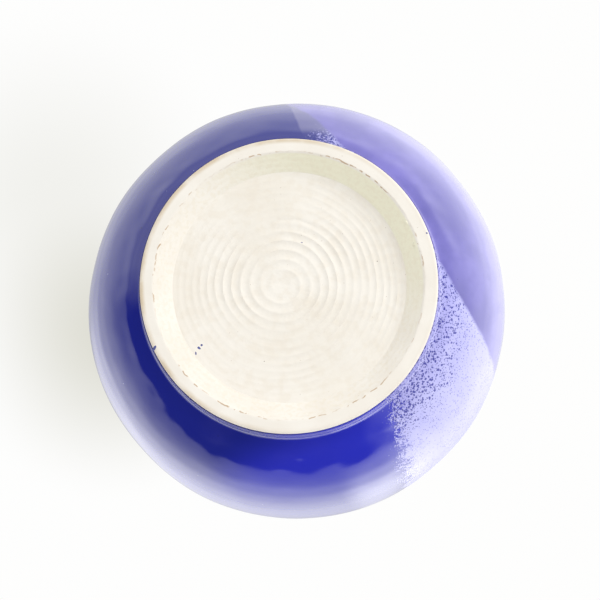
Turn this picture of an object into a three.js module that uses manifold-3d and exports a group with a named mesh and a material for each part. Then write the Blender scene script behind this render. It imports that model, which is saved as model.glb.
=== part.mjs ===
// Stoneware yarn bowl: a thrown bowl on a turned foot ring, with a J-shaped yarn slot cut
// down from its lip. The glaze is modelled as the coats that were put on it one by one:
// a liner inside, a cobalt coat outside, two sideways dips over that, and the lip.
// The clay is in three solids: the foot ring, the bowl up to the belly, and the wall above it.
//
// Millimetres, +Z up. The origin is the centre of the foot ring's resting face, so the
// bowl stands on z = 0 with its mouth up. The yarn slot faces -Y.

import * as THREE from 'three';
import { mergeVertices } from 'three/addons/utils/BufferGeometryUtils.js';
import Module from 'manifold-3d';

const wasm = await Module();
wasm.setup();

// Driving dimensions
const HEIGHT = 100;
const BELLY_RADIUS = 77.5;
const BELLY_HEIGHT = 60;
const LIP_RADIUS = 69.2; // outside of the wall where the lip starts to round over
const LIP_THICKNESS = 5.8;
const BELLY_THICKNESS = 7;
const FLOOR_HEIGHT = 13; // inside floor, above the resting face
const FLOOR_RADIUS = 30;

const FOOT_RADIUS = 51; // glazed side of the foot, at the glaze line
const FOOT_FLARE = 0.9; // the foot is this much wider where it meets the bowl
const FOOT_HEIGHT = 8;
const FOOT_EDGE = 0.6; // worn edges of the resting face
const BARE_RADIUS = 50.6; // bare clay below the glaze line
const GLAZE_LINE = 1.5;
const REST_INNER_RADIUS = 46.3;
const RECESS_RADIUS = 39.8;
const RECESS_DEPTH = 5.4;
const SKIRT_RADIUS = 52; // outside of the bowl where it meets the foot
const SKIRT_HEIGHT = 9.5;

const COAT = 0.7; // glaze thickness
const GAP = 0.3; // between neighbouring pieces
const LIP_COAT_HEIGHT = 6; // how far the lip's coat reaches down the wall, from the top

// Yarn slot, seen from the front: a leg down from the lip, a half turn and an eye
const SLOT_WIDTH = 7;
const SLOT_TURN_RADIUS = 9;
const SLOT_TURN_HEIGHT = 78;
const SLOT_EYE_RADIUS = 4.5;
const SLOT_EYE_HEIGHT = 80;
const SLOT_REACH = { from: 45, to: 90 }; // distance from the bowl's axis that the cutter covers

// Sideways dips: each is everything beyond a nearly upright plane
const FROSTED_DIP = { azimuth: 164.8, distance: 20.6, lean: 0.02 };
const LAVENDER_DIP = { azimuth: 142.5, distance: 46.6, lean: 0.09 };
const DIP_BLOCK = 240;

// Facets
const SEGMENTS = 32;
const LOWER_STEPS = 5;
const UPPER_STEPS = 4;
const LIP_STEPS = 4;

const clayLook = { color: 0xf1e9d6, roughness: 0.9, metalness: 0 };
const cobaltLook = { color: 0x1c2796, roughness: 0.12, metalness: 0 };
const frostedLook = { color: 0xa8a4da, roughness: 0.3, metalness: 0 };
const lavenderLook = { color: 0x8480cc, roughness: 0.15, metalness: 0 };
const lipLook = { color: 0x3a3f8e, roughness: 0.15, metalness: 0 };

const point = (radius, height) => new THREE.Vector2(radius, height);

// Radius of an arc that starts upright and drifts inset sideways over rise
const arcRadius = (inset, rise) => (inset * inset + rise * rise) / (2 * inset);

const lipHalf = LIP_THICKNESS / 2;
const lipStart = HEIGHT - lipHalf;
const upperRise = lipStart - BELLY_HEIGHT;

// One side of the wall, from `low` to `high`, moved `inward` towards the middle of the clay
const outside = {
  lower: arcRadius(BELLY_RADIUS - SKIRT_RADIUS, BELLY_HEIGHT - SKIRT_HEIGHT),
  upper: arcRadius(BELLY_RADIUS - LIP_RADIUS, upperRise),
};
const innerBelly = BELLY_RADIUS - BELLY_THICKNESS;
const innerLip = LIP_RADIUS - LIP_THICKNESS;
const inside = {
  across: innerBelly - FLOOR_RADIUS,
  down: BELLY_HEIGHT - FLOOR_HEIGHT,
  upper: arcRadius(innerBelly - innerLip, upperRise),
};

const belowAngle = (radius, height) => -Math.asin((BELLY_HEIGHT - height) / radius);
const aboveAngle = (radius, height) => Math.asin((height - BELLY_HEIGHT) / radius);

function ellipseArc(centre, across, up, from, to, steps) {
  return Array.from({ length: steps + 1 }, (_, i) => {
    const angle = from + ((to - from) * i) / steps;
    return point(centre + across * Math.cos(angle), BELLY_HEIGHT + up * Math.sin(angle));
  });
}

function outsideWall(inward, low, high) {
  const lower = outside.lower - inward;
  const upper = outside.upper - inward;
  const start = belowAngle(outside.lower, low);
  const below = ellipseArc(BELLY_RADIUS - outside.lower, lower, lower, start, 0, LOWER_STEPS);
  const end = aboveAngle(outside.upper, high);
  const above = ellipseArc(BELLY_RADIUS - outside.upper, upper, upper, 0, end, UPPER_STEPS);
  return [...below, ...above.slice(1)];
}

function insideWall(inward, high) {
  const below = ellipseArc(FLOOR_RADIUS, inside.across + inward, inside.down + inward,
    -Math.PI / 2, 0, LOWER_STEPS);
  const upper = inside.upper + inward;
  const end = aboveAngle(inside.upper, high);
  const above = ellipseArc(innerBelly - inside.upper, upper, upper, 0, end, UPPER_STEPS);
  return [...below, ...above.slice(1)];
}

// The rounded lip, from the outside of the wall to the inside
function lip(inward) {
  const radius = lipHalf - inward;
  return Array.from({ length: LIP_STEPS + 1 }, (_, i) => {
    const angle = (Math.PI * i) / LIP_STEPS;
    return point(LIP_RADIUS - lipHalf + radius * Math.cos(angle), lipStart + radius * Math.sin(angle));
  });
}

const turned = (points) => new THREE.LatheGeometry(points, SEGMENTS).rotateX(Math.PI / 2);
const closed = (points) => [...points, points[0].clone()];

// Booleans
function solidOf(geometry) {
  const bare = geometry.clone();
  bare.deleteAttribute('normal');
  bare.deleteAttribute('uv');
  const merged = mergeVertices(bare);
  const corners = merged.index.array;
  const kept = [];
  for (let i = 0; i < corners.length; i += 3) {
    const [a, b, c] = corners.subarray(i, i + 3);
    if (a !== b && b !== c && c !== a) {
      kept.push(a, b, c);
    }
  }
  return new wasm.Manifold(new wasm.Mesh({
    numProp: 3,
    vertProperties: new Float32Array(merged.attributes.position.array),
    triVerts: new Uint32Array(kept),
  }));
}

function geometryOf(solid) {
  const { vertProperties, triVerts } = solid.getMesh();
  const geometry = new THREE.BufferGeometry();
  geometry.setAttribute('position', new THREE.BufferAttribute(vertProperties, 3));
  geometry.setIndex(new THREE.BufferAttribute(triVerts, 1));
  geometry.computeVertexNormals();
  return geometry;
}

// Everything beyond a dip's plane, moved `outward` from the axis. Azimuths are in degrees.
function dipBlock({ azimuth, distance, lean }, outward) {
  const block = new THREE.BoxGeometry(DIP_BLOCK, DIP_BLOCK, DIP_BLOCK);
  block.translate(DIP_BLOCK / 2, 0, 0);
  block.rotateY(-Math.atan(lean));
  block.translate(distance + outward, 0, 0);
  block.rotateZ(THREE.MathUtils.degToRad(azimuth));
  return solidOf(block);
}

// The J-shaped cutter, drawn in x and z and pushed through the front wall
function slotCutter() {
  const half = SLOT_WIDTH / 2;
  const outer = SLOT_TURN_RADIUS + half;
  const inner = SLOT_TURN_RADIUS - half;
  const above = HEIGHT + 10;
  const leg = new THREE.Shape();
  leg.moveTo(inner, above);
  leg.lineTo(inner, SLOT_TURN_HEIGHT);
  leg.absarc(0, SLOT_TURN_HEIGHT, inner, 0, -Math.PI, true);
  leg.lineTo(-inner, SLOT_EYE_HEIGHT);
  leg.lineTo(-outer, SLOT_EYE_HEIGHT);
  leg.lineTo(-outer, SLOT_TURN_HEIGHT);
  leg.absarc(0, SLOT_TURN_HEIGHT, outer, Math.PI, 2 * Math.PI, false);
  leg.lineTo(outer, above);
  leg.closePath();
  const eye = new THREE.Shape();
  eye.absarc(-SLOT_TURN_RADIUS, SLOT_EYE_HEIGHT, SLOT_EYE_RADIUS, 0, 2 * Math.PI, false);
  const depth = SLOT_REACH.to - SLOT_REACH.from;
  const push = (shape) => {
    const geometry = new THREE.ExtrudeGeometry(shape, { depth, bevelEnabled: false, curveSegments: 9 });
    geometry.rotateX(Math.PI / 2);
    geometry.translate(0, -SLOT_REACH.from, 0);
    return solidOf(geometry);
  };
  return push(leg).add(push(eye));
}

// Pieces
const coatTop = HEIGHT - LIP_COAT_HEIGHT;
const clayInset = COAT + GAP;

// The glazed side of the foot, from the glaze line up
const footSide = (inward) => [
  point(FOOT_RADIUS - inward, GLAZE_LINE),
  point(FOOT_RADIUS + FOOT_FLARE - inward, FOOT_HEIGHT),
];

function clayBowl() {
  const underside = FOOT_HEIGHT + GAP;
  return [
    point(0, RECESS_DEPTH),
    point(RECESS_RADIUS - GAP / 2, RECESS_DEPTH),
    point(RECESS_RADIUS - GAP / 2, underside),
    point(FOOT_RADIUS + FOOT_FLARE - clayInset, underside),
    ...outsideWall(clayInset, SKIRT_HEIGHT, lipStart),
    ...lip(clayInset),
    ...insideWall(clayInset, lipStart).reverse(),
    point(0, FLOOR_HEIGHT - clayInset),
  ];
}

function footRing() {
  const [lineEdge, top] = footSide(clayInset);
  const bareTop = GLAZE_LINE - GAP;
  return closed([
    point(REST_INNER_RADIUS, 0),
    point(BARE_RADIUS - FOOT_EDGE, 0),
    point(BARE_RADIUS, FOOT_EDGE),
    point(BARE_RADIUS, bareTop),
    point(lineEdge.x, bareTop),
    top,
    point(RECESS_RADIUS + GAP / 2, FOOT_HEIGHT),
    point(RECESS_RADIUS + GAP / 2, RECESS_DEPTH),
    point(REST_INNER_RADIUS - FOOT_EDGE, FOOT_EDGE),
  ]);
}

function outerCoat() {
  const surface = (inward) => [
    ...footSide(inward),
    ...outsideWall(inward, SKIRT_HEIGHT, coatTop - GAP),
  ];
  return closed([...surface(0), ...surface(COAT).reverse()]);
}

function linerCoat() {
  const back = insideWall(COAT, coatTop - GAP);
  const face = insideWall(0, coatTop - GAP).reverse();
  return [point(0, FLOOR_HEIGHT - COAT), ...back, ...face, point(0, FLOOR_HEIGHT)];
}

function lipCoat() {
  const around = (inward) => [
    outsideWall(inward, SKIRT_HEIGHT, coatTop).at(-1),
    ...lip(inward),
    insideWall(inward, coatTop).at(-1),
  ];
  return closed([...around(0), ...around(COAT).reverse()]);
}

const slot = slotCutter();
const clay = solidOf(turned(clayBowl()));
const clayBelow = clay.trimByPlane([0, 0, -1], GAP / 2 - BELLY_HEIGHT);
const clayAbove = clay.trimByPlane([0, 0, 1], GAP / 2 + BELLY_HEIGHT).subtract(slot);
const coat = solidOf(turned(outerCoat()));
const frostedZone = coat
  .intersect(dipBlock(FROSTED_DIP, GAP / 2))
  .subtract(dipBlock(LAVENDER_DIP, -GAP / 2));
const beside = (turn) => dipBlock({ azimuth: LAVENDER_DIP.azimuth + turn, distance: 0, lean: 0 }, 0);

const bowl = new THREE.Group();
bowl.name = 'yarn_bowl';

function addPiece(name, geometry, look) {
  const mesh = new THREE.Mesh(geometry, new THREE.MeshStandardMaterial(look));
  mesh.name = name;
  bowl.add(mesh);
}

addPiece('clay_bowl', geometryOf(clayBelow), clayLook);
addPiece('clay_wall', geometryOf(clayAbove), clayLook);
addPiece('foot_ring', turned(footRing()), clayLook);
addPiece('liner_glaze', geometryOf(solidOf(turned(linerCoat())).subtract(slot)), cobaltLook);
addPiece('lip_glaze', geometryOf(solidOf(turned(lipCoat())).subtract(slot)), lipLook);
addPiece('cobalt_glaze', geometryOf(coat
  .subtract(dipBlock(FROSTED_DIP, -GAP / 2))
  .subtract(dipBlock(LAVENDER_DIP, -GAP / 2))
  .subtract(slot)), cobaltLook);
addPiece('frosted_glaze', geometryOf(frostedZone.intersect(beside(90))), frostedLook);
addPiece('frosted_glaze_sliver', geometryOf(frostedZone.intersect(beside(-90))), frostedLook);
addPiece('lavender_glaze', geometryOf(coat.intersect(dipBlock(LAVENDER_DIP, GAP / 2))), lavenderLook);

export default bowl;
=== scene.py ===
"""Looks for the stoneware yarn bowl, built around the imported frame.

The bowl stands upright, foot on z = 0 and mouth up, and the camera looks up at its foot.
Shapes are worked out in millimetres and turned into metres as each mesh is made.
Azimuths are in degrees from +X towards +Y.
"""

import math

import bmesh
import bpy
import numpy as np
from mathutils import Matrix, Vector


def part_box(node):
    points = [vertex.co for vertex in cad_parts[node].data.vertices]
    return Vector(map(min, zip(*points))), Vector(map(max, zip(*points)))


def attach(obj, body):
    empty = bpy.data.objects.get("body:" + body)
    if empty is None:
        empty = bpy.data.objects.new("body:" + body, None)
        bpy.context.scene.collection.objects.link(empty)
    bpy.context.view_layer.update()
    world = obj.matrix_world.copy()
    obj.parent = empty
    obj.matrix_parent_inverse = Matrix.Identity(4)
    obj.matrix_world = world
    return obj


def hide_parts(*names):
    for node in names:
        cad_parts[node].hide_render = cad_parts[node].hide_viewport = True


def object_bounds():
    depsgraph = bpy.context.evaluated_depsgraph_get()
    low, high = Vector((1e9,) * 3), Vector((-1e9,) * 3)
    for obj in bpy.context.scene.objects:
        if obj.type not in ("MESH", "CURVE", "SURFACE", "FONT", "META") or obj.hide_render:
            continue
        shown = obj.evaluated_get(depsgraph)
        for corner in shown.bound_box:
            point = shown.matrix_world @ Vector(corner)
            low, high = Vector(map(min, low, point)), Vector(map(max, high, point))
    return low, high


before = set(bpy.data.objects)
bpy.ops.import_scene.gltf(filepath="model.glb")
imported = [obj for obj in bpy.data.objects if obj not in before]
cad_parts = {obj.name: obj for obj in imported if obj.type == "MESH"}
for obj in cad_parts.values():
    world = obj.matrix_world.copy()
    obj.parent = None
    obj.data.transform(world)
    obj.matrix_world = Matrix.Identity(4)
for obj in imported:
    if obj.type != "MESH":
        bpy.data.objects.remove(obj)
cad_low, cad_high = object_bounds()

MM = 0.001

# ---------------------------------------------------------------- sizes, in millimetres



def lowest(node):
    """Height of a CAD node's lowest point."""
    return (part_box(node)[0] / MM).z


def highest(node):
    """Height of a CAD node's highest point."""
    return (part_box(node)[1] / MM).z


HEIGHT = cad_high.z / MM
BELLY_RADIUS = cad_high.x / MM
BELLY_HEIGHT = 60.0
WALL_AT_BELLY = 7.0
WALL_AT_LIP = 5.8
LIP_RADIUS = 69.2
LINER_COAT = 0.7
FLOOR_HEIGHT = lowest("liner_glaze") + LINER_COAT
FLOOR_RADIUS = 30.0

GLAZE_LINE = lowest("cobalt_glaze")
FOOT_TOP = highest("foot_ring")
FOOT_RADIUS = 51.0  # glazed side of the foot, at the glaze line
FOOT_FLARE = 0.35
BARE_RADIUS = 50.6
REST_INNER = 46.2
RECESS_RADIUS = 39.8
RECESS_DEPTH = lowest("clay_bowl")
SKIRT = (52.0, 9.5)  # radius and height where the bowl meets the foot

COAT = 0.8
CLAY_INSET = 0.9  # from the glaze's face down to the clay

LIP_HALF = WALL_AT_LIP / 2
LIP_CENTRE = HEIGHT - LIP_HALF

SLOT_WIDTH = 7.0
SLOT_TURN_RADIUS = 9.0
SLOT_TURN_HEIGHT = 78.0
SLOT_EYE_RADIUS = 4.5
SLOT_EYE_HEIGHT = 80.0

# Each dip's plane: the way it faces, its distance from the axis, and how far it leans
FROSTED_DIP = {"azimuth": 164.8, "distance": 20.6, "lean": 0.02}
LAVENDER_DIP = {"azimuth": 142.5, "distance": 46.6, "lean": 0.09}

AROUND = 360
SEED = 7
CREASE = 35  # degrees; sharper edges stay crisp

CAMERA_TARGET = (-2.6, -0.9, 30.0)
CAMERA_DISTANCE = 569.4
CAMERA_ELEVATION = -80.7
CAMERA_AZIMUTH = -16.5
LENS = 95.86
SENSOR = 36

SKY_PEAK = 3.0  # the brightest that the sky can be


# ---------------------------------------------------------------- shape helpers


def field(points, wavelength, seed, count=28):
    """Smooth random unevenness of about unit size, from waves in random directions."""
    rng = np.random.default_rng(SEED * 1000 + seed)
    direction = rng.normal(size=(count, 3))
    direction /= np.linalg.norm(direction, axis=1, keepdims=True)
    pace = 2 * math.pi / wavelength * rng.uniform(0.7, 1.4, (count, 1))
    phase = rng.uniform(0, 2 * math.pi, count)
    waves = np.sin(points @ (direction * pace).T + phase)
    return waves.sum(-1) * math.sqrt(2 / count)


def bump(distance, width):
    return np.exp(-((distance / width) ** 2))


def smoothstep(value, low, high):
    t = np.clip((value - low) / (high - low), 0, 1)
    return t * t * (3 - 2 * t)


def arc_radius(inset, rise):
    return (inset * inset + rise * rise) / (2 * inset)


def arc(centre, across, up, start, end, count=120):
    angle = np.linspace(start, end, count)
    x = centre[0] + across * np.cos(angle)
    z = centre[1] + up * np.sin(angle)
    return np.stack([x, z], -1)


def evenly(outline, step):
    """The outline again, with points every step along it."""
    lengths = np.linalg.norm(np.diff(outline, axis=0), axis=1)
    keep = np.concatenate([[True], lengths > 1e-9])
    outline = outline[keep]
    run = np.concatenate([[0], np.cumsum(np.linalg.norm(np.diff(outline, axis=0), axis=1))])
    count = max(2, int(round(run[-1] / step)) + 1)
    at = np.linspace(0, run[-1], count)
    return np.stack([np.interp(at, run, outline[:, k]) for k in range(outline.shape[1])], -1)


def eased(outline, step, width):
    """The outline with its corners rounded over about width, and its ends kept."""
    fine = evenly(outline, step)
    reach = int(3 * width / step)
    weights = bump(np.arange(-reach, reach + 1) * step, width)
    weights /= weights.sum()
    start = 2 * fine[0] - fine[reach:0:-1]
    end = 2 * fine[-1] - fine[-2 : -reach - 2 : -1]
    padded = np.concatenate([start, fine, end])
    columns = [np.convolve(padded[:, k], weights, "valid") for k in range(2)]
    return np.stack(columns, -1)


def normals_of(outline):
    """The outline's normals, on the right of its direction."""
    along = np.gradient(outline, axis=0)
    along /= np.linalg.norm(along, axis=1, keepdims=True)
    return np.stack([along[:, 1], -along[:, 0]], -1)


def revolve(outline, azimuths):
    """Rows of points: one row for each outline point, turned to each azimuth in degrees."""
    turn = np.radians(np.broadcast_to(azimuths, (len(outline), azimuths.shape[-1])))
    radius = outline[:, 0:1]
    height = np.broadcast_to(outline[:, 1:2], turn.shape)
    return np.stack([radius * np.cos(turn), radius * np.sin(turn), height], -1)


def push(points, outline_normals, azimuths, amount):
    """Moves revolved points along the surface's normal."""
    turn = np.radians(np.broadcast_to(azimuths, points.shape[:2]))
    out = outline_normals[:, 0:1]
    up = np.broadcast_to(outline_normals[:, 1:2], turn.shape)
    normal = np.stack([out * np.cos(turn), out * np.sin(turn), up], -1)
    return points + normal * amount[..., None]


# ---------------------------------------------------------------- mesh helpers


def make_object(name, verts, faces):
    mesh = bpy.data.meshes.new(name)
    mesh.from_pydata((np.asarray(verts) * MM).tolist(), [], faces)
    mesh.validate()
    mesh.update()
    piece = bpy.data.objects.new(name, mesh)
    bpy.context.collection.objects.link(piece)
    return piece


def smooth(piece):
    """Smooth shading, with the sharp edges kept crisp."""
    mesh = piece.data
    mesh.polygons.foreach_set("use_smooth", [True] * len(mesh.polygons))
    mesh.set_sharp_from_angle(angle=math.radians(CREASE))


def clean(piece, distance=0.004):
    """Merges doubled points and turns every face outwards."""
    bm = bmesh.new()
    bm.from_mesh(piece.data)
    bmesh.ops.remove_doubles(bm, verts=bm.verts, dist=distance * MM)
    bmesh.ops.dissolve_degenerate(bm, edges=bm.edges, dist=distance * MM)
    bmesh.ops.recalc_face_normals(bm, faces=bm.faces)
    bm.to_mesh(piece.data)
    bm.free()
    piece.data.update()


def loft(name, rows, closed_rows):
    """A closed skin through rows of points that start and end on one another or at a point."""
    rows = np.asarray(rows)
    count, across = rows.shape[:2]
    faces = []
    last = count if closed_rows else count - 1
    for i in range(last):
        below, above = i * across, (i + 1) % count * across
        for j in range(across):
            k = (j + 1) % across
            faces.append((below + j, below + k, above + k, above + j))
    piece = make_object(name, rows.reshape(-1, 3), faces)
    clean(piece)
    return piece


def panel(name, front, back):
    """A closed slab between two sheets of points with the same rows and columns."""
    rows, columns = front.shape[:2]
    verts = np.concatenate([front.reshape(-1, 3), back.reshape(-1, 3)])
    far = rows * columns
    faces = []
    for i in range(rows - 1):
        for j in range(columns - 1):
            a, b = i * columns + j, i * columns + j + 1
            c, d = b + columns, a + columns
            faces.append((a, b, c, d))
            faces.append((far + d, far + c, far + b, far + a))
    rim = [(0, j) for j in range(columns)]
    rim += [(i, columns - 1) for i in range(1, rows)]
    rim += [(rows - 1, j) for j in range(columns - 2, -1, -1)]
    rim += [(i, 0) for i in range(rows - 2, 0, -1)]
    ids = [i * columns + j for i, j in rim]
    for a, b in zip(ids, ids[1:] + ids[:1]):
        faces.append((b, a, far + a, far + b))
    piece = make_object(name, verts, faces)
    clean(piece)
    return piece


def carve(piece, cutter):
    """Cuts cutter out of piece for good."""
    cut = piece.modifiers.new("cut", "BOOLEAN")
    cut.operation = "DIFFERENCE"
    cut.solver = "EXACT"
    cut.object = cutter
    graph = bpy.context.evaluated_depsgraph_get()
    mesh = bpy.data.meshes.new_from_object(piece.evaluated_get(graph))
    piece.modifiers.clear()
    old = piece.data
    piece.data = mesh
    bpy.data.meshes.remove(old)


def finish_piece(piece, material, slot, *nodes):
    smooth(piece)
    piece.data.materials.clear()
    piece.data.materials.append(material)
    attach(piece, "root")
    if nodes:
        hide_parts(*nodes)


# ---------------------------------------------------------------- outlines

UPPER_RISE = LIP_CENTRE - BELLY_HEIGHT
OUTER_LOWER = arc_radius(BELLY_RADIUS - SKIRT[0], BELLY_HEIGHT - SKIRT[1])
OUTER_UPPER = arc_radius(BELLY_RADIUS - LIP_RADIUS, UPPER_RISE)
INNER_BELLY = BELLY_RADIUS - WALL_AT_BELLY
INNER_LIP = LIP_RADIUS - WALL_AT_LIP
INNER_UPPER = arc_radius(INNER_BELLY - INNER_LIP, UPPER_RISE)
COAT_END = LIP_CENTRE - 0.6


def outer_outline():
    """From the glaze line on the foot's side up to the lip."""
    foot = np.array([(FOOT_RADIUS, GLAZE_LINE), (FOOT_RADIUS + FOOT_FLARE, FOOT_TOP)])
    start = -math.asin((BELLY_HEIGHT - SKIRT[1]) / OUTER_LOWER)
    lower_centre = (BELLY_RADIUS - OUTER_LOWER, BELLY_HEIGHT)
    lower = arc(lower_centre, OUTER_LOWER, OUTER_LOWER, start, 0)
    end = math.asin((COAT_END - BELLY_HEIGHT) / OUTER_UPPER)
    upper_centre = (BELLY_RADIUS - OUTER_UPPER, BELLY_HEIGHT)
    upper = arc(upper_centre, OUTER_UPPER, OUTER_UPPER, 0, end)
    sharp = np.concatenate([foot, lower, upper[1:]])
    return evenly(eased(sharp, 0.1, 1.0), 1.0)


def inner_outline():
    """From the middle of the inside floor up to the lip."""
    middle = np.array([(0.0, FLOOR_HEIGHT)])
    across, down = INNER_BELLY - FLOOR_RADIUS, BELLY_HEIGHT - FLOOR_HEIGHT
    lower = arc((FLOOR_RADIUS, BELLY_HEIGHT), across, down, -math.pi / 2, 0)
    end = math.asin((COAT_END - BELLY_HEIGHT) / INNER_UPPER)
    upper = arc((INNER_BELLY - INNER_UPPER, BELLY_HEIGHT), INNER_UPPER, INNER_UPPER, 0, end)
    sharp = np.concatenate([middle, lower, upper[1:]])
    return evenly(eased(sharp, 0.1, 1.5), 1.1)


OUTER = outer_outline()
OUTER_NORMALS = normals_of(OUTER)
INNER = inner_outline()
INNER_NORMALS = -normals_of(INNER)
OUTER_RUN = np.concatenate([[0], np.cumsum(np.linalg.norm(np.diff(OUTER, axis=0), axis=1))])
SKIRT_RUN = OUTER_RUN[np.argmin(np.abs(OUTER - SKIRT).sum(1))]


def even_azimuths(count=AROUND):
    return np.arange(count) * 360.0 / count


def wrapped(azimuths, centre):
    return (azimuths - centre + 180) % 360 - 180


# ---------------------------------------------------------------- the outside coats

# Runs and blisters in the pooled glaze: azimuth, distance up from the foot, size, height
BLISTERS = (
    (267.0, 6.6, 1.9, 0.14),
    (312.0, 6.2, 1.7, 0.12),
    (256.0, 11.0, 3.4, 0.16),
    (274.0, 11.0, 3.0, 0.12),
    (300.0, 10.5, 3.6, 0.10),
)


def outer_surface(azimuths):
    """The glazed outside, as the kiln left it: throwing lines, a pooled roll and runs."""
    points = revolve(OUTER, azimuths)
    run = OUTER_RUN[:, None]
    turn = np.broadcast_to(azimuths, points.shape[:2])
    up = run - SKIRT_RUN
    lines = np.sin(2 * math.pi * (up / 6.5 + turn / 360)) * smoothstep(up, 12, 30)
    amount = 0.012 * lines * (1 + 0.5 * field(points, 60, 1))
    amount += 0.10 * field(points, 45, 2) * smoothstep(up, 0, 14)
    amount += 0.012 * field(points, 11, 3) * smoothstep(up, 0, 6)
    pooled = 0.33 + 0.07 * field(points, 22, 4)
    amount += pooled * bump(up - 4.5, 4.0)
    amount += 0.034 * field(points, 9, 5) * bump(up - 8, 6)
    for azimuth, height, size, tall in BLISTERS:
        aside = np.radians(wrapped(turn, azimuth)) * OUTER[:, 0:1]
        amount += tall * np.exp(-(aside**2 + (up - height) ** 2) / size**2)
    amount *= smoothstep(run, 0, 3)
    return push(points, OUTER_NORMALS, azimuths, amount)


def dip_edges(dip):
    """Where a dip's plane crosses the outside, low and high azimuth for each outline point."""
    reach = dip["distance"] - dip["lean"] * OUTER[:, 1]
    half = np.degrees(np.arccos(reach / OUTER[:, 0]))
    return dip["azimuth"] - half, dip["azimuth"] + half


def coat_between(name, low, high, columns, rows=slice(None)):
    """The glaze coat between two edges that run from the foot to the lip."""
    share = np.linspace(0, 1, columns)
    azimuths = low[:, None] + (high - low)[:, None] * share
    front = outer_surface(azimuths)[rows]
    back = push(revolve(OUTER, azimuths), OUTER_NORMALS, azimuths, np.full(azimuths.shape, -COAT))
    return panel(name, front, back[rows])


# ---------------------------------------------------------------- the slot


def round_points(centre, radius, start, end, count=48):
    angle = np.radians(np.linspace(start, end, count))
    return np.stack([centre[0] + radius * np.cos(angle), centre[1] + radius * np.sin(angle)], -1)


def crossings(centre_a, radius_a, centre_b, radius_b):
    """The two points that a pair of circles share."""
    between = centre_b - centre_a
    apart = np.linalg.norm(between)
    along = (radius_a**2 - radius_b**2 + apart**2) / (2 * apart)
    side = math.sqrt(radius_a**2 - along**2)
    unit = between / apart
    across = np.array([unit[1], -unit[0]])
    return [centre_a + unit * along + across * side * sign for sign in (-1, 1)]


def bearing(point, centre):
    return math.degrees(math.atan2(*(point - centre)[::-1]))


def slot_outline(margin):
    """The slot's edge in x and z, moved margin into the clay, from its left top to its right top."""
    half = SLOT_WIDTH / 2 + margin
    inner, outer = SLOT_TURN_RADIUS - half, SLOT_TURN_RADIUS + half
    turn = np.array([0.0, SLOT_TURN_HEIGHT])
    eye = np.array([-SLOT_TURN_RADIUS, SLOT_EYE_HEIGHT])
    eye_radius = SLOT_EYE_RADIUS + margin
    into = max(crossings(turn, inner, eye, eye_radius), key=lambda point: point[0])
    out_of = min(crossings(turn, outer, eye, eye_radius), key=lambda point: point[1])
    inner_turn = round_points(turn, inner, 0, bearing(into, turn) - (360 if into[1] > turn[1] else 0))
    around_eye = round_points(eye, eye_radius, bearing(into, eye), bearing(out_of, eye) % 360, 72)
    outer_turn = round_points(turn, outer, bearing(out_of, turn) % 360, 360, 96)
    top = HEIGHT + 12
    left = np.array([(inner, top), (inner, SLOT_TURN_HEIGHT)])
    right = np.array([(outer, SLOT_TURN_HEIGHT), (outer, top)])
    return np.concatenate([left, inner_turn[1:], around_eye[1:], outer_turn[1:], right[1:]])


def slot_cutter(margin):
    """The slot's shape pushed through the front wall."""
    outline = evenly(slot_outline(margin), 0.8)
    count = len(outline)
    verts = [(x, y, z) for y in (-95.0, -40.0) for x, z in outline]
    faces = [tuple(range(count)), tuple(range(2 * count - 1, count - 1, -1))]
    for i in range(count):
        j = (i + 1) % count
        faces.append((i, count + i, count + j, j))
    cutter = make_object("slot_cutter", verts, faces)
    clean(cutter)
    return cutter


def slot_distance(points):
    """How far each point is from the slot's edge, seen from the front. Behind, it is far."""
    x, y, z = points[..., 0], points[..., 1], points[..., 2]
    down = z - SLOT_TURN_HEIGHT
    leg = np.hypot(x - SLOT_TURN_RADIUS, np.minimum(down, 0))
    hook = np.hypot(x + SLOT_TURN_RADIUS, np.maximum(-down, 0) + np.maximum(down - 2, 0))
    turn = np.where(down < 0, np.abs(np.hypot(x, down) - SLOT_TURN_RADIUS), 99.0)
    edge = np.minimum(np.minimum(leg, hook), turn) - SLOT_WIDTH / 2
    eye = np.hypot(x + SLOT_TURN_RADIUS, z - SLOT_EYE_HEIGHT) - SLOT_EYE_RADIUS
    return np.where(y < 0, np.minimum(edge, eye), 99.0)


def calm(points):
    """0 at the slot and the lip, where the wall meets their rounded edge, and 1 away from them."""
    near_slot = smoothstep(slot_distance(points), 2.5, 10)
    near_lip = smoothstep(LIP_CENTRE - points[..., 2], 0.5, 9)
    return near_slot * near_lip


def wall_at(height):
    """Middle radius, half thickness and middle normal of the wall at each height."""
    outer = np.interp(height, OUTER[:, 1], OUTER[:, 0])
    upper = INNER[:, 1] > FLOOR_HEIGHT + 1
    inner = np.interp(height, INNER[upper, 1], INNER[upper, 0])
    lean = np.interp(height, OUTER[:, 1], np.arctan2(OUTER_NORMALS[:, 1], OUTER_NORMALS[:, 0]))
    return (outer + inner) / 2, (outer - inner) / 2 * np.cos(lean), lean


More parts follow.
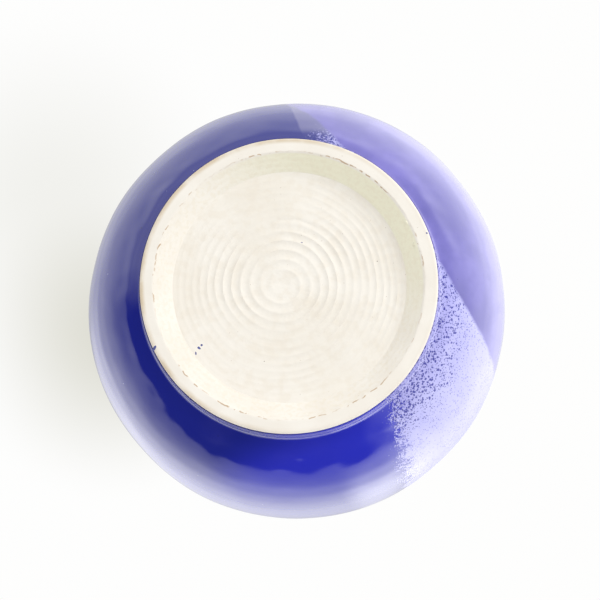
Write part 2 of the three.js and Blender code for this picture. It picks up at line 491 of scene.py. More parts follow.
def lip_path():
    """The middle of the wall's rounded edge: round the lip, and down and back up the slot."""
    slot = evenly(slot_outline(LIP_HALF), 0.2)
    slot = slot[slot[:, 1] < LIP_CENTRE]
    x, z = slot[:, 0], slot[:, 1]
    radius = wall_at(z)[0]
    front = np.stack([x, -np.sqrt(radius**2 - x**2), z], -1)
    lip_radius = LIP_RADIUS - LIP_HALF
    first = math.atan2(front[-1, 1], front[-1, 0])
    last = math.atan2(front[0, 1], front[0, 0]) + 2 * math.pi
    turn = np.linspace(first, last, 2000)[1:-1]
    level = np.full(turn.shape, LIP_CENTRE)
    lip = np.stack([lip_radius * np.cos(turn), lip_radius * np.sin(turn), level], -1)
    loop = evenly(np.concatenate([front, lip, front[:1]]), 0.2)[:-1]
    reach = 24
    weights = bump(np.arange(-reach, reach + 1), reach / 2.5)
    weights /= weights.sum()
    padded = np.concatenate([loop[-reach:], loop, loop[:reach]])
    soft = np.stack([np.convolve(padded[:, k], weights, "valid") for k in range(3)], -1)
    return evenly(np.concatenate([soft, soft[:1]]), 0.8)[:-1]


def lip_edge(name, across=28):
    """The rounded edge itself, an oval bead as thick as the wall."""
    path = lip_path()
    along = np.roll(path, -1, 0) - np.roll(path, 1, 0)
    along /= np.linalg.norm(along, axis=1, keepdims=True)
    turn = np.arctan2(path[:, 1], path[:, 0])
    _, half, lean = wall_at(np.minimum(path[:, 2], COAT_END))
    out = np.stack([np.cos(turn) * np.cos(lean), np.sin(turn) * np.cos(lean), np.sin(lean)], -1)
    out -= along * (out * along).sum(1, keepdims=True)
    out /= np.linalg.norm(out, axis=1, keepdims=True)
    side = np.cross(out, along)
    uneven = 0.05 * field(path, 14, 30)
    angle = np.linspace(0, 2 * math.pi, across, endpoint=False)
    wide = (half + 0.03)[:, None, None] * np.cos(angle)[None, :, None] * out[:, None, :]
    edge = (LIP_HALF + uneven)[:, None, None] * np.sin(angle)[None, :, None] * side[:, None, :]
    return loft(name, path[:, None, :] + wide + edge, closed_rows=True)


# ---------------------------------------------------------------- the inside coat


def liner(name):
    azimuths = even_azimuths()
    front = revolve(INNER, azimuths)
    turn = np.broadcast_to(azimuths, front.shape[:2])
    run = np.concatenate([[0], np.cumsum(np.linalg.norm(np.diff(INNER, axis=0), axis=1))])[:, None]
    spiral = 2 * math.pi * (run / 8.0 - turn / 360)
    ridges = (1 - np.abs(np.sin(spiral / 2))) ** 1.5
    amount = 0.28 * ridges * smoothstep(run, 3, 14) + 0.10 * field(front, 40, 20)
    amount += 0.5 * bump(run, 5.0)
    amount *= smoothstep(calm(front), 0, 1) * smoothstep(run, 0, 4) + bump(run, 2.0)
    face = push(front, INNER_NORMALS, azimuths, amount)
    back_outline = INNER - INNER_NORMALS * COAT
    back_outline[0, 0] = 0
    back = revolve(back_outline[::-6], azimuths)
    closing = revolve(back_outline[:1], azimuths)
    return loft(name, np.concatenate([face, back, closing]), closed_rows=False)


# ---------------------------------------------------------------- bare clay

SPIRAL_CENTRE = np.array([2.2, 1.0])
FADED = 305.0  # azimuth where the trimming lines are wiped away
WIPED = 95.0
MARK = ((-9.0, 20.5), (-3.0, 23.2), (4.0, 23.0), (9.5, 20.0))


def line_distance(x, y, line):
    """Distance from each point to a chain of straight pieces."""
    nearest = np.full(x.shape, 1e9)
    for (ax, ay), (bx, by) in zip(line, line[1:]):
        px, py, dx, dy = x - ax, y - ay, bx - ax, by - ay
        t = np.clip((px * dx + py * dy) / (dx * dx + dy * dy), 0, 1)
        nearest = np.minimum(nearest, np.hypot(px - t * dx, py - t * dy))
    return nearest


def recess_relief(points):
    """How far the turned floor of the recess stands down towards the table."""
    x, y = points[..., 0], points[..., 1]
    dx, dy = x - SPIRAL_CENTRE[0], y - SPIRAL_CENTRE[1]
    radius = np.hypot(dx, dy)
    turn = np.degrees(np.arctan2(dy, dx))
    winding = radius / 4.1 + 3.0 * (radius / 34) ** 2
    phase = winding - turn / 360 + 0.04 * field(points, 20, 40)
    away = np.abs(phase - np.round(phase))
    ridge = bump(away, 0.14)
    scallop = 4 * away * away
    strength = 0.25 * (1 - 0.45 * smoothstep(radius, 20, 36)) * smoothstep(radius, 2.5, 6)
    faded = bump(wrapped(turn, FADED) / 42, 1) * smoothstep(radius, 10, 20)
    wiped = bump(wrapped(turn, WIPED) / 34, 1) * smoothstep(radius, 15, 22)
    strength *= (1 - 0.85 * faded) * (1 - 0.75 * wiped) * (1 + 0.25 * field(points, 16, 41))
    relief = strength * (ridge - 0.5 * scallop)
    relief += 0.05 * field(points, 14, 42) + 0.012 * field(points, 1.6, 43)
    relief -= 0.22 * bump(radius, 2.6)
    relief -= 0.16 * bump(line_distance(x, y, MARK), 0.38)
    return relief * smoothstep(RECESS_RADIUS + 0.2 - np.hypot(x, y), 0, 1.2)


def clay_body(name):
    azimuths = even_azimuths()
    radii = np.arange(0, RECESS_RADIUS + 0.2, 0.36)
    floor = revolve(np.stack([radii, np.full(radii.shape, RECESS_DEPTH)], -1), azimuths)
    floor[..., 2] -= recess_relief(floor)
    underside = FOOT_TOP + 0.1
    hidden = [(radii[-1], underside), (FOOT_RADIUS - 0.2, underside)]
    above = OUTER[:, 1] > SKIRT[1] + 1
    climb = (OUTER - OUTER_NORMALS * CLAY_INSET)[above][::6]
    descend = (INNER - INNER_NORMALS * CLAY_INSET)[::-6]
    outline = np.concatenate([hidden, climb, descend, [(0.0, FLOOR_HEIGHT - CLAY_INSET)]])
    outline[:, 0] = np.maximum(outline[:, 0], 0)
    return loft(name, np.concatenate([floor, revolve(outline, azimuths)]), closed_rows=False)


# Crumbs of clay left along the ring's inner edge: azimuth, distance from the axis, size
CRUMBS = (
    (152.0, 44.8, 1.5),
    (163.0, 44.6, 1.7),
    (157.5, 45.3, 0.8),
    (248.0, 45.0, 0.9),
    (236.0, 45.2, 0.8),
    (262.0, 45.1, 0.7),
)


def foot(name):
    """The turned ring. Its outline starts under the glaze and runs down, in and up the recess."""
    azimuths = even_azimuths()
    bare_top = GLAZE_LINE + 0.5
    side = [(FOOT_RADIUS - 0.35, bare_top), (BARE_RADIUS, GLAZE_LINE - 0.5), (BARE_RADIUS, 0.45)]
    flat = [(BARE_RADIUS - 0.5, 0.0), (REST_INNER, 0.0)]
    slope = [(REST_INNER - 0.35, 0.3), (RECESS_RADIUS, RECESS_DEPTH + 0.12)]
    seen = eased(np.array(side + flat + slope), 0.1, 0.22)
    seen = evenly(seen, 0.3)
    rows = revolve(seen, azimuths)
    turn = np.broadcast_to(azimuths, rows.shape[:2])
    radius = np.hypot(rows[..., 0], rows[..., 1])
    on_flat = smoothstep(radius, REST_INNER - 0.3, REST_INNER + 0.3)
    on_slope = 1 - on_flat
    down = 0.010 * field(rows, 1.2, 50) + 0.03 * field(rows, 9, 51)
    burr = smoothstep(field(rows, 2.6, 52), 0.2, 1.4) * smoothstep(field(rows, 30, 53), -0.6, 0.6)
    down += 0.16 * burr * bump(radius - (REST_INNER - 0.5), 0.55)
    down -= 0.10 * smoothstep(field(rows, 3.4, 54), 0.5, 1.6) * bump(radius - REST_INNER, 0.5)
    down += on_slope * (0.05 * np.sin(2 * math.pi * radius / 1.7 + 0.6 * field(rows, 30, 55)))
    for azimuth, out, size in CRUMBS:
        aside = np.radians(wrapped(turn, azimuth)) * radius
        spot = np.exp(-((aside / size) ** 2) - ((radius - out) / (0.6 * size)) ** 2)
        down += 0.45 * size * spot * (1 + 0.3 * field(rows, 1.1, 56))
    lift = np.clip(rows[..., 2] - down, 0, None)
    on_face = smoothstep(radius, RECESS_RADIUS, RECESS_RADIUS + 0.8)
    rows[..., 2] += (lift - rows[..., 2]) * on_face * (rows[..., 2] < RECESS_DEPTH)
    back = [(RECESS_RADIUS, FOOT_TOP), (FOOT_RADIUS + FOOT_FLARE - 0.35, FOOT_TOP)]
    return loft(name, np.concatenate([rows, revolve(np.array(back), azimuths)]), closed_rows=True)


# Drops of glaze that fell on the bare foot: x, y, half width along and across, direction
DROPS = (
    (45.1, -21.6, 1.00, 0.60, 118),
    (30.6, -21.0, 1.00, 0.55, 25),
    (29.8, -20.1, 0.60, 0.45, 0),
    (31.7, -22.8, 0.80, 0.40, 70),
    (-4.3, 15.1, 0.55, 0.30, 20),
    (-46.9, 17.0, 0.40, 0.32, 80),
)


def drops(name):
    """Low rounded drops, each a closed cap that sits in the clay."""
    verts, faces = [], []
    rings, around = 5, 20
    for x, y, along, across, direction in DROPS:
        radius = math.hypot(x, y)
        level = RECESS_DEPTH if radius < RECESS_RADIUS else 0.0
        base = len(verts)
        turn = math.radians(direction)
        for i in range(rings + 1):
            share = i / rings
            for j in range(around):
                angle = 2 * math.pi * j / around
                wobble = 1 + 0.16 * math.sin(2 * angle + x) + 0.08 * math.sin(3 * angle + y)
                u = along * share * math.cos(angle) * wobble
                v = across * share * math.sin(angle) * wobble
                drop = 0.16 * (1 - share**2) - 0.06
                px = x + u * math.cos(turn) - v * math.sin(turn)
                py = y + u * math.sin(turn) + v * math.cos(turn)
                verts.append((px, py, level - drop))
        for i in range(rings):
            for j in range(around):
                k = (j + 1) % around
                a, b = base + i * around, base + (i + 1) * around
                faces.append((a + j, b + j, b + k, a + k))
        faces.append(tuple(base + rings * around + j for j in range(around)))
    piece = make_object(name, verts, faces)
    clean(piece)
    return piece


# ---------------------------------------------------------------- node helpers


class Net:
    """A node tree and short ways to add to it. A value may be a number, a colour or a socket."""

    def __init__(self, owner):
        owner.use_nodes = True
        self.tree = owner.node_tree
        self.tree.nodes.clear()

    def node(self, kind, **settings):
        node = self.tree.nodes.new("ShaderNode" + kind)
        for key, value in settings.items():
            setattr(node, key, value)
        return node

    def feed(self, socket, value):
        if isinstance(value, bpy.types.NodeSocket):
            self.tree.links.new(value, socket)
        elif isinstance(value, tuple) and len(value) == 3 and socket.type == "RGBA":
            socket.default_value = (*value, 1)
        else:
            socket.default_value = value

    def math(self, operation, a, b=0.0, c=0.0):
        node = self.node("Math", operation=operation)
        for socket, value in zip(node.inputs, (a, b, c)):
            self.feed(socket, value)
        return node.outputs[0]

    def step(self, value, low, high, start=0.0, end=1.0):
        """A smooth rise from start to end as value goes from low to high."""
        node = self.node("MapRange", interpolation_type="SMOOTHSTEP")
        for socket, given in zip(node.inputs, (value, low, high, start, end)):
            self.feed(socket, given)
        return node.outputs[0]

    def vector(self, operation, a, b=(0.0, 0.0, 0.0)):
        node = self.node("VectorMath", operation=operation)
        self.feed(node.inputs[0], a)
        self.feed(node.inputs[1], b)
        single = operation in ("DOT_PRODUCT", "DISTANCE", "LENGTH")
        return node.outputs["Value" if single else "Vector"]

    def mix(self, share, a, b):
        node = self.node("Mix", data_type="RGBA")
        self.feed(node.inputs["Factor"], share)
        self.feed(node.inputs[6], a)
        self.feed(node.inputs[7], b)
        return node.outputs[2]

    def noise(self, place, size, detail=2.0, seed=0.0):
        """Smooth noise around 0.5, with features about size millimetres across."""
        moved = self.vector("ADD", place, (seed * 31.7, seed * 17.3, seed * 53.1))
        node = self.node("TexNoise")
        self.feed(node.inputs["Vector"], moved)
        node.inputs["Scale"].default_value = 0.5 / size
        node.inputs["Detail"].default_value = detail
        return node.outputs[0]

    def specks(self, place, spacing, radius, share, seed=0.0):
        """1 inside small round specks, in about share of the cells, and 0 elsewhere."""
        moved = self.vector("ADD", place, (seed * 13.1, seed * 7.7, seed * 29.3))
        node = self.node("TexVoronoi")
        self.feed(node.inputs["Vector"], moved)
        node.inputs["Scale"].default_value = 1 / spacing
        parts = self.node("SeparateColor")
        self.feed(parts.inputs[0], node.outputs["Color"])
        size = self.step(parts.outputs[1], 0, 1, 0.4 * radius / spacing, 1.4 * radius / spacing)
        inside = self.math("LESS_THAN", node.outputs["Distance"], size)
        return self.math("MULTIPLY", inside, self.math("LESS_THAN", parts.outputs[0], share))

    def crystals(self, place, spacing, cover, seed):
        """1 inside small crystals, which lie sparse where cover is low and run together where it is 1."""
        moved = self.vector("ADD", place, (seed * 11.9, seed * 5.3, seed * 23.7))
        node = self.node("TexVoronoi")
        self.feed(node.inputs["Vector"], moved)
        node.inputs["Scale"].default_value = 1 / spacing
        parts = self.node("SeparateColor")
        self.feed(parts.inputs[0], node.outputs["Color"])
        grown = self.math("SUBTRACT", cover, self.math("MULTIPLY", parts.outputs[0], 0.85))
        reach = self.step(grown, -0.12, 0.75, 0.0, 0.80)
        return self.step(self.math("SUBTRACT", reach, node.outputs["Distance"]), -0.06, 0.06)

    def place(self):
        """The object's own coordinates in millimetres."""
        own = self.node("TexCoord").outputs["Object"]
        scaled = self.node("VectorMath", operation="SCALE")
        self.feed(scaled.inputs[0], own)
        scaled.inputs["Scale"].default_value = 1 / MM
        return scaled.outputs["Vector"]

    def parts(self, place):
        """A vector's x, y and z."""
        parts = self.node("SeparateXYZ")
        self.feed(parts.inputs[0], place)
        return parts.outputs

    def radius(self, place):
        """Distance from the bowl's axis."""
        return self.vector("LENGTH", self.vector("MULTIPLY", place, (1.0, 1.0, 0.0)))

    def towards(self, place, azimuth, lean=0.0):
        """How far a place lies along an azimuth in degrees."""
        turn = math.radians(azimuth)
        return self.vector("DOT_PRODUCT", place, (math.cos(turn), math.sin(turn), lean))

    def rest(self, share):
        """What share leaves of 1."""
        return self.math("SUBTRACT", 1.0, share)

    def bumps(self, height, distance, strength=1.0, under=None):
        node = self.node("Bump")
        node.inputs["Strength"].default_value = strength
        node.inputs["Distance"].default_value = distance * MM
        self.feed(node.inputs["Height"], height)
        if under is not None:
            self.feed(node.inputs["Normal"], under)
        return node.outputs[0]

    def surface(self, **values):
        shader = self.node("BsdfPrincipled")
        for key, value in values.items():
            self.feed(shader.inputs[key.replace("_", " ")], value)
        output = self.node("OutputMaterial")
        self.feed(output.inputs["Surface"], shader.outputs[0])


def new_material(name):
    material = bpy.data.materials.new(name)
    return material, Net(material)


# ---------------------------------------------------------------- materials

NAVY = (0.011, 0.017, 0.235)
ROYAL = (0.024, 0.030, 0.51)
HAZE = (0.11, 0.10, 0.40)
LAVENDER = (0.185, 0.165, 0.56)
FROST = (0.46, 0.46, 0.88)
BROKEN = (0.13, 0.11, 0.30)


def beyond(net, place, dip):
    """Distance past a dip's plane, in millimetres, with a slightly wandering edge."""
    along = net.towards(place, dip["azimuth"], dip["lean"])
    wander = net.step(net.noise(place, 7, 2, dip["distance"]), 0, 1, -1.2, 1.2)
    return net.math("ADD", net.math("SUBTRACT", along, dip["distance"]), wander)


def glaze_bumps(net, place, grainy):
    """Orange peel, long ripples, and a fine grain where the glaze is frosted."""
    ripple = net.bumps(net.noise(place, 9, 1, 3), 0.22)
    peel = net.bumps(net.noise(place, 1.7, 2, 4), 0.018, 1.0, ripple)
    grain = net.math("MULTIPLY", net.noise(place, 0.35, 2, 5), grainy)
    return net.bumps(grain, 0.05, 1.0, peel)


def pinholes(net, place, colour):
    """Sparse pale dots and darker pits in the glaze."""
    dots = net.specks(place, 3.2, 0.17, 0.16, 6)
    pale = net.mix(net.math("MULTIPLY", dots, 0.55), colour, (0.50, 0.52, 0.80))
    pits = net.specks(place, 5.5, 0.22, 0.25, 7)
    return net.mix(net.math("MULTIPLY", pits, 0.6), pale, (0.012, 0.012, 0.06))


def cobalt_tone(net, place):
    """Navy with painted light, a brighter royal blue on the lower wall's lit side; thin on the foot, with
    painted shade on its shaded side; hazy up the wall.
    """
    z = net.parts(place)[2]
    cloud = net.noise(place, 16, 3, 1)
    # Painted light: a brighter royal blue on the lower wall's side towards -X and -Y, which faces the
    # light.
    painted_light_side = net.step(net.vector("DOT_PRODUCT", place, (-0.47, -0.88, 0.0)), 36, 54)
    painted_light_side = net.math("MULTIPLY", painted_light_side, net.step(z, 46, 16))
    cobalt = net.mix(painted_light_side, NAVY, ROYAL)
    cobalt = net.mix(net.step(cloud, 0.5, 0.8, 0, 0.16), cobalt, HAZE)
    thin = net.math("MULTIPLY", net.step(z, 2.2, 3.6), net.step(z, 8.6, 6.6))
    thin = net.math("MULTIPLY", thin, net.step(net.noise(place, 4, 2, 2), 0.3, 0.7, 0.15, 0.45))
    # Painted shade: the pale thin band is mostly left out towards +X and -Y, so the foot's glaze is
    # darker on its shaded side.
    lit_share = net.step(net.vector("DOT_PRODUCT", place, (0.82, -0.57, 0.0)), 20, 45, 1.0, 0.1)
    cobalt = net.mix(net.math("MULTIPLY", thin, lit_share), cobalt, BROKEN)
    raised = net.math("MULTIPLY", net.step(z, 30, 75), net.step(cloud, 0.3, 0.7, 0.15, 0.5))
    cobalt = net.mix(raised, cobalt, (0.045, 0.05, 0.33))
    return pinholes(net, place, cobalt)


def frosted_tone(net, place, frosted, cobalt):
    """Pale crystals over the cobalt, with dark gaps that are larger near the foot. Returns the
    colour and where it is dull."""
    _, y, z = net.parts(place)
    clump = net.step(net.noise(place, 2.6, 3, 9), 0.32, 0.68, -0.22, 0.22)
    open_share = net.math("ADD", net.step(z, 7, 34, 0.80, 0.30), net.step(frosted, 13, 0, 0, 0.28))
    open_share = net.math("ADD", open_share, clump)
    near_foot = net.math("MULTIPLY", open_share, net.step(z, 21, 13, 0, 1.3))
    near_foot = net.math("MULTIPLY", near_foot, net.step(frosted, 40, 8, 0.5, 1.0))
    coarse = net.specks(place, 0.85, 0.36, near_foot, 11)
    fine = net.specks(place, 0.52, 0.17, open_share, 12)
    gaps = net.math("MAXIMUM", coarse, fine)
    gap_tone = net.mix(net.step(z, 12, 34), (0.012, 0.014, 0.30), (0.17, 0.17, 0.56))
    tone = net.mix(net.step(net.noise(place, 7, 3, 10), 0.3, 0.7), FROST, (0.52, 0.52, 0.90))
    tone = net.mix(net.step(z, 20, 9, 0, 0.25), tone, LAVENDER)
    pale = net.mix(net.math("MULTIPLY", gaps, 0.95), tone, gap_tone)

    far_side = net.math("MULTIPLY", net.step(y, 18, 34), net.step(z, 10, 17, 0.25, 0.85))
    cover = net.math("ADD", net.step(frosted, -3.4, 5.5, 0.10, 0.92), clump)
    cover = net.math("MULTIPLY", cover, net.rest(far_side))
    grains = net.math("MAXIMUM", net.crystals(place, 0.60, cover, 8), net.crystals(place, 0.40, cover, 9))
    grown = net.math("MULTIPLY", net.step(frosted, 4.5, 8.5), net.rest(far_side))
    grains = net.math("MAXIMUM", grains, grown)
    under = net.mix(net.step(far_side, 0.2, 0.8, 0, 0.8), cobalt, (0.15, 0.15, 0.36))
    return net.mix(grains, under, pale), net.math("MULTIPLY", grains, net.rest(gaps))


def lavender_tone(net, place):
    """Smooth lavender in cloudy streaks, paler up the wall, with a few dark specks."""
    z = net.parts(place)[2]
    soft = net.mix(net.step(net.noise(place, 12, 3, 12), 0.3, 0.7), LAVENDER, HAZE)
    soft = net.mix(net.step(z, 12, 60, 0, 0.25), soft, FROST)
    streaks = net.noise(net.vector("MULTIPLY", place, (1.0, 1.0, 0.25)), 3.0, 3, 15)
    soft = net.mix(net.step(streaks, 0.45, 0.7, 0, 0.30), soft, (0.10, 0.09, 0.40))
    return net.mix(net.math("MULTIPLY", net.specks(place, 4.0, 0.15, 0.2, 13), 0.5), soft, NAVY)


def outside_glaze(name):
    """Cobalt, with a frosted dip over one side of it and a lavender dip over that."""
    material, net = new_material(name)
    place = net.place()
    x, _, z = net.parts(place)
    frosted = beyond(net, place, FROSTED_DIP)
    lavender = beyond(net, place, LAVENDER_DIP)
    cobalt = cobalt_tone(net, place)
    frost, dull = frosted_tone(net, place, frosted, cobalt)

    in_frosted = net.step(frosted, -2.8, -1.8)
    in_lavender = net.step(lavender, -0.9, 0.9)
    colour = net.mix(in_frosted, cobalt, frost)
    colour = net.mix(in_lavender, colour, lavender_tone(net, place))
    # Painted shade: the glaze's bottom edge at the clay is darkened nearly to black, deeper towards +X on
    # the shaded side.
    edge = net.math("MULTIPLY", net.step(z, 1.9, 1.45), net.step(x, -20, 25, 0.1, 0.5))
    colour = net.mix(edge, colour, (0.02, 0.02, 0.07))
    colour = net.mix(net.step(z, 88, 96, 0, 0.55), colour, BROKEN)

    dull = net.math("MULTIPLY", dull, net.math("MULTIPLY", in_frosted, net.rest(in_lavender)))
    uneven = net.step(net.noise(place, 5, 2, 14), 0.3, 0.7, -0.02, 0.02)
    roughness = net.math("ADD", net.step(dull, 0, 1, 0.085, 0.26), uneven)
    normal = glaze_bumps(net, place, dull)
    net.surface(Base_Color=colour, Roughness=roughness, IOR=1.6, Normal=normal)
    return material


def inside_glaze(name):
    """Cobalt that hangs in hazy streaks down the wall and pools darker in the middle."""
    material, net = new_material(name)
    place = net.place()
    z = net.parts(place)[2]
    streaks = net.noise(net.vector("MULTIPLY", place, (1.0, 1.0, 0.16)), 3.0, 3, 20)
    rise = net.step(z, 14, 90)
    cloud = net.noise(place, 14, 3, 21)
    hazy = net.math("MULTIPLY", net.step(streaks, 0.42, 0.68), net.step(rise, 0, 1, 0.15, 0.6))
    colour = net.mix(net.step(cloud, 0.35, 0.7), NAVY, ROYAL)
    colour = net.mix(hazy, colour, HAZE)
    colour = net.mix(net.step(z, 89, 96, 0, 0.55), colour, BROKEN)
    colour = pinholes(net, place, colour)
    uneven = net.step(net.noise(place, 5, 2, 22), 0.3, 0.7, 0.07, 0.12)
    normal = glaze_bumps(net, place, 0.0)
    net.surface(Base_Color=colour, Roughness=uneven, IOR=1.6, Normal=normal)
    return material


def lip_glaze(name):
    """Glaze that breaks thin and lighter over the lip and the slot's edge."""
    material, net = new_material(name)
    place = net.place()
    z = net.parts(place)[2]
    worn = net.step(net.noise(place, 2.2, 3, 30), 0.35, 0.65)
    patch = net.step(net.noise(place, 16, 2, 31), 0.35, 0.65)
    colour = net.mix(patch, (0.05, 0.055, 0.30), BROKEN)
    colour = net.mix(net.math("MULTIPLY", worn, 0.55), colour, (0.30, 0.27, 0.36))
    crest = net.math("MULTIPLY", net.step(z, 98.6, 99.9), net.step(worn, 0, 1, 0.35, 0.8))
    colour = net.mix(crest, colour, (0.42, 0.34, 0.30))
    colour = pinholes(net, place, colour)
    roughness = net.step(worn, 0, 1, 0.09, 0.17)
    net.surface(Base_Color=colour, Roughness=roughness, IOR=1.6, Normal=glaze_bumps(net, place, 0.0))
    return material


def drop_glaze(name):
    """Spilt glaze, darker where the drop is thick."""
    material, net = new_material(name)
    place = net.place()
    thick = net.step(net.noise(place, 0.5, 2, 40), 0.3, 0.7)
    colour = net.mix(thick, (0.03, 0.04, 0.20), (0.11, 0.13, 0.36))
    net.surface(Base_Color=colour, Roughness=0.2, IOR=1.6, Normal=glaze_bumps(net, place, 0.0))
    return material


def iron(net, place, colour):
    """Iron specks of a few sizes in the clay."""
    fine = net.math("MULTIPLY", net.specks(place, 2.4, 0.10, 0.42, 50), 0.5)
    colour = net.mix(fine, colour, (0.30, 0.20, 0.12))
    coarse = net.math("MULTIPLY", net.specks(place, 6.5, 0.20, 0.34, 51), 0.75)
    return net.mix(coarse, colour, (0.16, 0.10, 0.07))


def clay_bumps(net, place):
    """Fine sand, and open pores."""
    sand = net.bumps(net.noise(place, 0.28, 3, 52), 0.035)
    pores = net.rest(net.specks(place, 1.9, 0.10, 0.35, 53))
    return net.bumps(pores, 0.04, 1.0, sand)


def bare_clay(name):
    """Pale stoneware, trimmed and sponged."""
    material, net = new_material(name)
    place = net.place()
    cloud = net.noise(place, 10, 3, 54)
    colour = net.mix(net.step(cloud, 0.3, 0.7), (0.86, 0.815, 0.735), (0.90, 0.865, 0.80))
    mottle = net.step(net.noise(place, 1.6, 3, 55), 0.42, 0.68, 0, 0.30)
    colour = net.mix(mottle, colour, (0.80, 0.73, 0.62))
    colour = iron(net, place, colour)
    roughness = net.step(cloud, 0.3, 0.7, 0.80, 0.92)
    net.surface(Base_Color=colour, Roughness=roughness, IOR=1.45, Normal=clay_bumps(net, place))
    return material


def foot_clay(name):
    """The same clay on the ring: wiped on its face, and toasted beside the glaze."""
    material, net = new_material(name)
    place = net.place()
    radius = net.radius(place)
    cloud = net.noise(place, 8, 3, 60)
    colour = net.mix(net.step(cloud, 0.3, 0.7), (0.865, 0.82, 0.745), (0.91, 0.875, 0.81))
    slope = net.math("MULTIPLY", net.step(radius, 45.9, 45.2), net.step(radius, 39.5, 40.4))
    aside = net.vector("DOT_PRODUCT", place, (-0.62, 0.78, 0.0))
    # Painted shade: a yellow-green tint on the recess slope's shaded side, towards -X and +Y.
    shaded_slope_tint = net.math("MULTIPLY", slope, net.step(aside, 5, 42, 0, 0.8))
    colour = net.mix(shaded_slope_tint, colour, (0.88, 0.86, 0.66))
    sandy = net.step(net.noise(place, 0.7, 2, 61), 0.45, 0.62, 0, 0.22)
    colour = net.mix(net.math("MULTIPLY", slope, sandy), colour, (0.80, 0.72, 0.56))
    patchy = net.step(net.noise(place, 3.5, 3, 62), 0.3, 0.65, 0.25, 0.85)
    one_side = net.step(net.vector("DOT_PRODUCT", place, (0.8, 0.4, 0.0)), -30, 30, 0.1, 1.0)
    toasted = net.math("MULTIPLY", net.step(radius, 48.5, 49.9), net.math("MULTIPLY", patchy, one_side))
    colour = net.mix(toasted, colour, (0.66, 0.54, 0.38))
    strayed = net.math("ADD", radius, net.step(net.noise(place, 2.0, 2, 65), 0, 1, -0.6, 0.6))
    seam = net.math("MULTIPLY", net.step(strayed, 45.75, 45.95), net.step(strayed, 46.3, 46.1))
    dashes = net.step(net.noise(place, 1.0, 2, 63), 0.46, 0.56)
    gather = net.step(net.noise(place, 9, 2, 64), 0.42, 0.60, 0.1, 0.85)
    dashes = net.math("MULTIPLY", net.math("MULTIPLY", seam, dashes), gather)
    colour = net.mix(dashes, colour, (0.50, 0.34, 0.19))
    colour = iron(net, place, colour)
    roughness = net.step(slope, 0, 1, 0.72, 0.9)
    net.surface(Base_Color=colour, Roughness=roughness, IOR=1.45, Normal=clay_bumps(net, place))
    return material


# ---------------------------------------------------------------- the bowl


def build_bowl():
    lavender_low, lavender_high = dip_edges(LAVENDER_DIP)
    frosted_low, frosted_high = dip_edges(FROSTED_DIP)
    crossed = frosted_low < lavender_low
    sliver_rows = slice(0, int(np.argmin(crossed)) if not crossed.all() else len(crossed))
    cobalt_low = np.minimum(frosted_low, lavender_low) + 360
    around = dict(
        cobalt=coat_between("cobalt_coat", frosted_high, cobalt_low, 250),
        frosted=coat_between("frosted_coat", lavender_high, frosted_high, 60),
        sliver=coat_between("frosted_sliver_coat", frosted_low, lavender_low, 16, sliver_rows),
        lavender=coat_between("lavender_coat", lavender_low, lavender_high, 110),
    )
    inside = liner("liner_coat")
    clay = clay_body("clay_body")
    ring = foot("turned_foot")
    edge = lip_edge("lip_and_slot_edge")
    spill = drops("glaze_drops")

    cutter = slot_cutter(LIP_HALF - 0.3)
    for piece in (around["cobalt"], inside, clay):
        carve(piece, cutter)
    bpy.data.objects.remove(cutter)

    finish_piece(around["cobalt"], outside_glaze("cobalt_gloss"), "cobalt", "cobalt_glaze")
    finish_piece(around["frosted"], outside_glaze("frosted_overlap"), "frosted", "frosted_glaze")
    finish_piece(around["sliver"], outside_glaze("frosted_edge"), "frosted", "frosted_glaze_sliver")
    finish_piece(around["lavender"], outside_glaze("lavender_overlap"), "lavender", "lavender_glaze")
    finish_piece(inside, inside_glaze("liner_gloss"), "liner", "liner_glaze")
    finish_piece(edge, lip_glaze("broken_glaze"), "lip", "lip_glaze")
    finish_piece(clay, bare_clay("bare_stoneware"), "clay", "clay_bowl", "clay_wall")
    finish_piece(ring, foot_clay("wiped_stoneware"), "foot_clay", "foot_ring")
    finish_piece(spill, drop_glaze("spilt_glaze"), "cobalt")


# ---------------------------------------------------------------- studio


def pale_floor():
    """A floor that is seen from above only, so that the foot can be seen from below."""
    half, level = 3000.0, -0.3
    corners = [(-half, -half, level), (half, -half, level), (half, half, level), (-half, half, level)]
    floor = make_object("floor", corners, [(0, 1, 2, 3)])
    floor.visible_diffuse = False
    floor.visible_glossy = False
    floor.visible_transmission = False
    floor.visible_shadow = False
    material, net = new_material("floor")
    face = net.node("BsdfDiffuse")
    face.inputs["Color"].default_value = (0.42, 0.41, 0.395, 1)
    clear = net.node("BsdfTransparent")
    either = net.node("MixShader")
    net.feed(either.inputs[0], net.node("NewGeometry").outputs["Backfacing"])
    net.feed(either.inputs[1], face.outputs[0])
    net.feed(either.inputs[2], clear.outputs[0])
    net.feed(net.node("OutputMaterial").inputs["Surface"], either.outputs[0])
    floor.data.materials.append(material)


def profile(net, value, stops):
    """Brightness along the sky, from stops of height and brightness, the first at -1, the last at 1."""
    ramp = net.node("ValToRGB")
    elements = ramp.color_ramp.elements
    for height, _ in stops[1:-1]:
        elements.new(height * 0.5 + 0.5)
    for element, (_, bright) in zip(elements, stops):
        share = bright / SKY_PEAK
        element.color = (share, share, share, 1)
    net.feed(ramp.inputs[0], net.math("MULTIPLY_ADD", value, 0.5, 0.5))
    return net.math("MULTIPLY", ramp.outputs[0], SKY_PEAK)


def blend(net, share, a, b):
    """A number between a and b."""
    node = net.node("Mix", data_type="FLOAT")
    net.feed(node.inputs[0], share)
    net.feed(node.inputs[2], a)
    net.feed(node.inputs[3], b)
    return node.outputs[0]


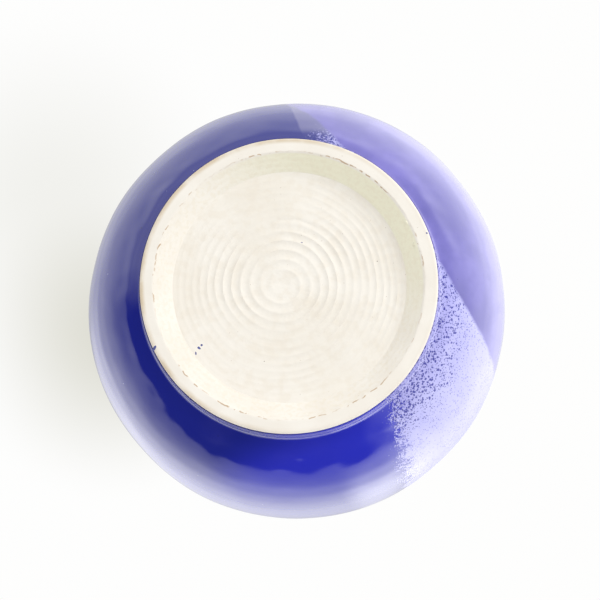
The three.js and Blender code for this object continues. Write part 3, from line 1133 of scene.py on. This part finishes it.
def room_light(net, facing, diffuse):
    """Brightness of the room for the bowl. Above is a bright table. Below, the room is bright on one
    side and dark on the other. Matt surfaces see a more even room."""
    bright = ((-1, 0.8), (-0.6, 0.8), (-0.38, 1.2), (0, 1.3), (0.27, 2.2), (0.7, 2.3))
    bright += ((0.85, 1.7), (0.94, 1.2), (1, 0.8))
    room = ((-1, 0.8), (-0.66, 0.7), (-0.52, 0.05), (0.11, 0.03))
    table = ((0.15, 0.8), (0.27, 1.1), (0.47, 2.0), (0.7, 2.8), (0.85, 2.4), (0.94, 1.6), (1, 0.8))
    even = ((-1, 0.76), (0, 0.81), (0.3, 1.15), (1, 1.5))
    z = net.parts(facing)[2]
    level = net.vector("NORMALIZE", net.vector("MULTIPLY", facing, (1.0, 1.0, 0.0)))
    dark_side = net.step(net.towards(level, -58), 0.22, 0.52)
    strength = blend(net, dark_side, profile(net, z, bright), profile(net, z, room + table))
    shaded = net.step(net.towards(level, 50), 0.25, 0.88)
    shaded = net.math("MULTIPLY", shaded, net.step(z, -0.08, 0.14, 0, 0.42))
    strength = net.math("MULTIPLY", strength, net.rest(shaded))
    window = net.step(net.towards(level, 238), 0.94, 0.995)
    window = net.math("MULTIPLY", window, net.step(z, 0.08, 0.2, 0, 0.7))
    window = net.math("MULTIPLY", window, net.step(z, 0.95, 0.7, 0.3, 1.0))
    strength = net.math("MULTIPLY", strength, net.math("ADD", 1.0, window))
    return blend(net, net.math("MULTIPLY", diffuse, 0.8), strength, profile(net, z, even))


def backdrop(net, facing):
    """White, with the soft shade that the bowl leaves beside it."""
    close = net.step(net.vector("DISTANCE", facing, (0.161, 0.126, 0.979)), 0.10, 0, 0, 0.53)
    wide = net.step(net.vector("DISTANCE", facing, (0.196, 0.214, 0.957)), 0.125, 0, 0, 0.24)
    return net.mix(net.math("ADD", close, wide), (0.99, 0.99, 0.985), (0.54, 0.53, 0.41))


def studio_world():
    """Pale all round for the camera, and a table and a room for the glaze to reflect."""
    world = bpy.data.worlds.new("studio")
    bpy.context.scene.world = world
    net = Net(world)
    facing = net.node("TexCoord").outputs["Generated"]
    rays = net.node("LightPath").outputs
    seen, glow = net.node("Background"), net.node("Background")
    net.feed(seen.inputs["Color"], backdrop(net, facing))
    net.feed(glow.inputs["Color"], (1.0, 0.995, 0.985))
    net.feed(glow.inputs["Strength"], room_light(net, facing, rays["Is Diffuse Ray"]))
    either = net.node("MixShader")
    net.feed(either.inputs[0], rays["Is Camera Ray"])
    net.feed(either.inputs[1], glow.outputs[0])
    net.feed(either.inputs[2], seen.outputs[0])
    net.feed(net.node("OutputWorld").inputs["Surface"], either.outputs[0])


def soft_light(name, place, aim, size, power, colour=(1, 1, 1)):
    data = bpy.data.lights.new(name, "AREA")
    data.shape = "RECTANGLE"
    data.size, data.size_y = size[0] * MM, size[1] * MM
    data.energy = power
    data.color = colour
    light = bpy.data.objects.new(name, data)
    light.location = Vector(place) * MM
    light.rotation_euler = (Vector(aim) - Vector(place)).to_track_quat("-Z", "Y").to_euler()
    light.visible_camera = False
    light.visible_glossy = False
    bpy.context.collection.objects.link(light)


def lights():
    """A soft key from below on the pale side, which rakes across the trimmed foot."""
    soft_light("key", (-620, 470, -430), (0, 0, 20), (330, 330), 3.2, (1.0, 0.985, 0.96))
    soft_light("fill", (330, -420, -640), (0, 0, 20), (500, 500), 1.0, (0.96, 0.98, 1.0))
    soft_light("top", (180, -260, 720), (0, 0, 60), (420, 420), 4.0)


def photo_camera():
    """Looks up at the foot, from a little to the slot's side of straight below."""
    elevation, azimuth = math.radians(CAMERA_ELEVATION), math.radians(CAMERA_AZIMUTH)
    level = math.cos(elevation)
    back = Vector((math.sin(azimuth) * level, -math.cos(azimuth) * level, math.sin(elevation)))
    right = (-back).cross(Vector((0, 1, 0))).normalized()
    up = right.cross(-back)
    data = bpy.data.cameras.new("camera")
    data.lens = LENS
    data.sensor_width = SENSOR
    data.clip_start = 0.01
    camera = bpy.data.objects.new("camera", data)
    turned = Matrix((right, up, back)).transposed().to_4x4()
    turned.translation = (Vector(CAMERA_TARGET) + back * CAMERA_DISTANCE) * MM
    camera.matrix_world = turned
    bpy.context.collection.objects.link(camera)
    bpy.context.scene.camera = camera


build_bowl()
pale_floor()
studio_world()
lights()
photo_camera()
bpy.context.scene.view_settings.view_transform = "Standard"
